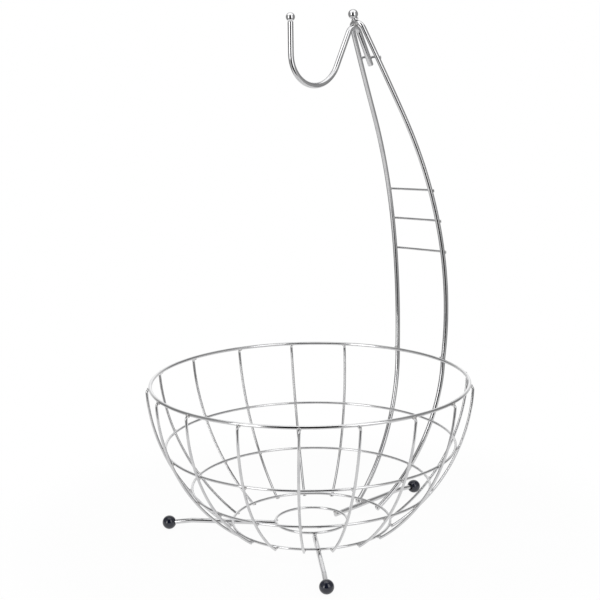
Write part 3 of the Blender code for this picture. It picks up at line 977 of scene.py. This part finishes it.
def bar_ends(stand, node):
    """Middles of both ends of a CAD crossbar, from left to right."""
    depth = stand.bar / 4.0
    return [end_of(node, -ACROSS, depth), end_of(node, ACROSS, depth)]


# Welds, each as its place, a direction along the contact, its normal and the wire's diameter

def ring_tangent(turn):
    return Vector((math.cos(turn), -math.sin(turn), 0.0))


def crossing(bowl, drop, ring_wire, turn):
    """Place, direction and normal of a weld where a wire crosses a ring on its outside."""
    outward, up = bowl.outward_at(drop)
    place = bowl.beside(drop, (ring_wire + bowl.gap) / 2.0, turn)
    return place, ring_tangent(turn), turned(outward, turn, up)


def bowl_welds(bowl):
    welds = []
    for node in WIRE_NODES:
        foot_turn = foot_turn_of(bowl, node)
        for name in CROSSED_RINGS:
            drop = RING_DROPS[name]
            welds.append((*crossing(bowl, drop, RING_WIRE, bowl.wire_turn(foot_turn, drop)), bowl.wire))
        turn = bowl.wire_turn(foot_turn, bowl.shoulder)
        normal = turned(math.cos(bowl.top_slope), turn, -math.sin(bowl.top_slope))
        place = RIM_CENTRE + turned(RIM_RADIUS, turn, 0.0) + normal * (RIM_WIRE + bowl.gap) / 2.0
        welds.append((place, ring_tangent(turn), normal, bowl.wire))
    return welds


def stand_welds(bowl, stand, hook):
    welds = []
    for side in (-1.0, 1.0):
        for name in ("rim_ring", *CROSSED_RINGS):
            drop = RING_DROPS[name]
            turn = side * bowl.turn_at(stand.turn_at_rim, stand.turn_at_foot, drop)
            wire = RIM_WIRE if name == "rim_ring" else RING_WIRE
            welds.append((*crossing(bowl, drop, wire, turn), wire))
    ahead = (stand.bar + bowl.gap) / 2.0
    tail_bar = bar_ends(stand, "hook_tail_bar")
    bars = [bar_ends(stand, name) for name in CROSSBARS] + [[*tail_bar, (tail_bar[0] + tail_bar[1]) / 2.0]]
    for place in sum(bars, []):
        back = stand.back_at(place.z - RIM_CENTRE.z)
        welds.append((place - back * ahead, ACROSS, back, stand.bar))
    crown = hook.crown(bowl, stand)
    towards = (stand.apex(bowl) - crown).normalized()
    place = crown + towards * (hook.crown_radius + (hook.rod + bowl.gap) / 2.0)
    welds.append((place, ACROSS, towards, RIM_WIRE))
    return welds


def leg_welds(bowl, leg):
    welds = []
    for side in LEGS:
        turn = leg.foot(bowl, side)[1]
        for name in ("lower_ring", "base_ring"):
            centre, radius, wire = ring_measures(name)
            place = centre + turned(radius, turn, -(wire + bowl.gap) / 2.0)
            welds.append((place, ring_tangent(turn), -UP, wire))
    return welds


# The studio

def level_directions(studio):
    """Level directions to the right of the camera and towards it."""
    right = Vector((math.cos(studio.heading), math.sin(studio.heading), 0.0))
    return right, right.cross(UP)


def add_aimed(scene, name, data, place, right, top):
    """Camera or lamp at a place, with its own right and top turned to two directions."""
    aimed = bpy.data.objects.new(name, data)
    scene.collection.objects.link(aimed)
    axes = Matrix((right, top, right.cross(top))).transposed()
    aimed.matrix_world = Matrix.Translation(place) @ axes.to_4x4()
    return aimed


def add_camera(scene, studio):
    right, to_camera = level_directions(studio)
    forward = -to_camera * math.cos(studio.pitch) - UP * math.sin(studio.pitch)
    tipped = right * math.cos(studio.roll) - right.cross(forward) * math.sin(studio.roll)
    place = RIM_CENTRE + right * studio.aside + to_camera * studio.distance + UP * studio.rise
    data = bpy.data.cameras.new("camera")
    data.lens = studio.lens
    scene.camera = add_aimed(scene, "camera", data, place, tipped, tipped.cross(forward))


def add_floor(scene, studio):
    """Plain pale floor, which reaches further behind the object than in front of it."""
    right, to_camera = level_directions(studio)
    front, back, half = studio.floor_front, -studio.floor_back, studio.floor_half
    corners = [to_camera * ahead + right * aside
               for ahead, aside in ((front, -half), (front, half), (back, half), (back, -half))]
    mesh = bpy.data.meshes.new("floor")
    mesh.from_pydata(corners, [], [(0, 1, 2, 3)])
    nodes = Nodes(material_named("studio_floor"))
    place = nodes.position()
    dull = nodes.add("ShaderNodeBsdfDiffuse", None, {
        "Color": nodes.mixed(nodes.noise(place, FLOOR_CLOUDS), studio.floor_tint, studio.floor_worn)})
    white = nodes.add("ShaderNodeEmission", None, {"Color": opaque(1.0), "Strength": 1.0})
    from_axis = nodes.add("ShaderNodeVectorMath", {"operation": "LENGTH"}, {0: place}, "Value")
    share = nodes.between(from_axis, studio.shadow_reach, studio.floor_front, studio.white_share, 1.0)
    seen = nodes.ray("Is Camera Ray") + nodes.in_gloss()
    mesh.materials.append(nodes.finish("ShaderNodeMixShader", {0: seen * share, 1: dull, 2: white}))
    floor = bpy.data.objects.new("floor", mesh)
    scene.collection.objects.link(floor)


def plateau(start, next_start, level):
    """Stops of a part of the room: one level from its start to halfway to the next part."""
    return (start, level), ((start + next_start) / 2.0, level)


def ring_of_walls(nodes, around, levels):
    """Light of the room by the turn from the camera's side, as a share of half a turn."""
    stops = [(turn / math.pi, level) for turn, level in levels]
    return nodes.add("ShaderNodeValToRGB", {"stops": stops}, {"Fac": around})


def light_room(scene, studio):
    """Plain light all round, and for metal the studio: dark behind the camera, white behind the object."""
    scene.world = bpy.data.worlds.new("studio")
    nodes = Nodes(scene.world)
    right, to_camera = level_directions(studio)
    direction = nodes.add("ShaderNodeTexCoord", output="Generated")
    aside = nodes.math("ABSOLUTE", nodes.dot(direction, right))
    around = nodes.math("ARCTAN2", aside, nodes.dot(direction, to_camera)) / math.pi
    walls = ring_of_walls(nodes, around, (
        (studio.camera_side_half, studio.camera_side),
        *plateau(studio.front_walls_from, studio.side_walls_from, studio.front_walls),
        *plateau(studio.side_walls_from, studio.gaps_from, studio.side_walls),
        *plateau(studio.gaps_from, studio.backdrop_from, studio.gaps),
        (studio.backdrop_from, studio.backdrop)))
    ceiling = ring_of_walls(nodes, around, (
        (studio.camera_side_half, studio.camera_side), (studio.front_walls_from, studio.ceiling),
        (studio.gaps_from, studio.ceiling), (studio.backdrop_from, studio.backdrop)))
    overhead = nodes.between(nodes.dot(direction, UP), studio.ceiling_from,
                             studio.ceiling_from + studio.ceiling_fade)
    spot = UP * math.sin(studio.spot_height) - to_camera * math.cos(studio.spot_height)
    in_spot = nodes.between(nodes.dot(direction, spot), math.cos(studio.spot_half), 1.0)
    picture = nodes.mixed(in_spot, nodes.mixed(overhead, walls, ceiling), studio.backdrop_spot)
    shown = nodes.mixed(nodes.in_gloss(), studio.plain_level, picture)
    nodes.finish("ShaderNodeBackground", {
        "Color": nodes.mixed(nodes.ray("Is Camera Ray"), shown, 1.0), "Strength": 1.0})


def add_softbox(scene, name, place, right, top, size, level):
    """Oblong lamp with its right and top turned to two directions, as bright as a level of white."""
    lamp = bpy.data.lights.new(name, "AREA")
    lamp.shape = "RECTANGLE"
    lamp.size, lamp.size_y = size
    lamp.energy = level * math.pi * size[0] * size[1]
    add_aimed(scene, name, lamp, place, right, top).visible_camera = False


def add_softboxes(scene, studio):
    """Two upright softboxes to either side of the camera, and one close over the object."""
    right, to_camera = level_directions(studio)
    for side, turned_by in (("left", -studio.left_aside), ("right", studio.right_aside)):
        distance, middle, width, height, level = (
            getattr(studio, side + "_" + size) for size in ("distance", "middle", "width", "height", "level"))
        outwards = to_camera * math.cos(turned_by) + right * math.sin(turned_by)
        place = outwards * distance + Vector((RIM_CENTRE.x, RIM_CENTRE.y, middle))
        add_softbox(scene, "softbox_" + side, place, UP.cross(outwards), UP, (width, height), level)
    place = RIM_CENTRE + UP * studio.overhead_rise
    place += to_camera * studio.overhead_ahead - right * studio.overhead_aside
    add_softbox(scene, "softbox_overhead", place, right, -to_camera,
                (studio.overhead_width, studio.overhead_depth), studio.overhead_level)


class BASKET_OT_studio(Operator):
    """Adds the camera, the floor and the light"""

    bl_idname = "basket.studio"
    bl_label = "Add studio"

    def execute(self, context):
        scene, studio = context.scene, context.scene.basket_studio
        add_camera(scene, studio)
        add_floor(scene, studio)
        light_room(scene, studio)
        add_softboxes(scene, studio)
        scene.view_settings.view_transform = "Standard"
        return {"FINISHED"}


# Add-on

class BASKET_PT_sidebar(Panel):
    """Lists the basket's steps in the sidebar"""

    bl_idname = "BASKET_PT_sidebar"
    bl_label = "Fruit basket"
    bl_space_type = "VIEW_3D"
    bl_region_type = "UI"
    bl_category = "Fruit basket"

    def draw(self, context):
        for step in STEPS:
            self.layout.operator(step.bl_idname)


GROUPS = {"basket_bowl": BowlSizes, "basket_stand": StandSizes, "basket_hook": HookSizes,
          "basket_leg": LegSizes, "basket_weld": WeldSizes, "basket_finish": FinishColours,
          "basket_studio": StudioSetting}
STEPS = (BASKET_OT_rings, BASKET_OT_wires, BASKET_OT_stand, BASKET_OT_hook, BASKET_OT_legs,
         BASKET_OT_feet, BASKET_OT_welds, BASKET_OT_studio)
CLASSES = (*GROUPS.values(), *STEPS, BASKET_PT_sidebar)


def register():
    for made in CLASSES:
        bpy.utils.register_class(made)
    for name, group in GROUPS.items():
        setattr(bpy.types.Scene, name, PointerProperty(type=group))


def unregister():
    for name in GROUPS:
        delattr(bpy.types.Scene, name)
    for made in reversed(CLASSES):
        bpy.utils.unregister_class(made)


def main():
    register()
    bpy.ops.basket.rings()
    bpy.ops.basket.wires()
    bpy.ops.basket.stand()
    bpy.ops.basket.hook()
    bpy.ops.basket.legs()
    bpy.ops.basket.feet()
    bpy.ops.basket.welds()
    bpy.ops.basket.studio()


if __name__ == "__main__":
    main()
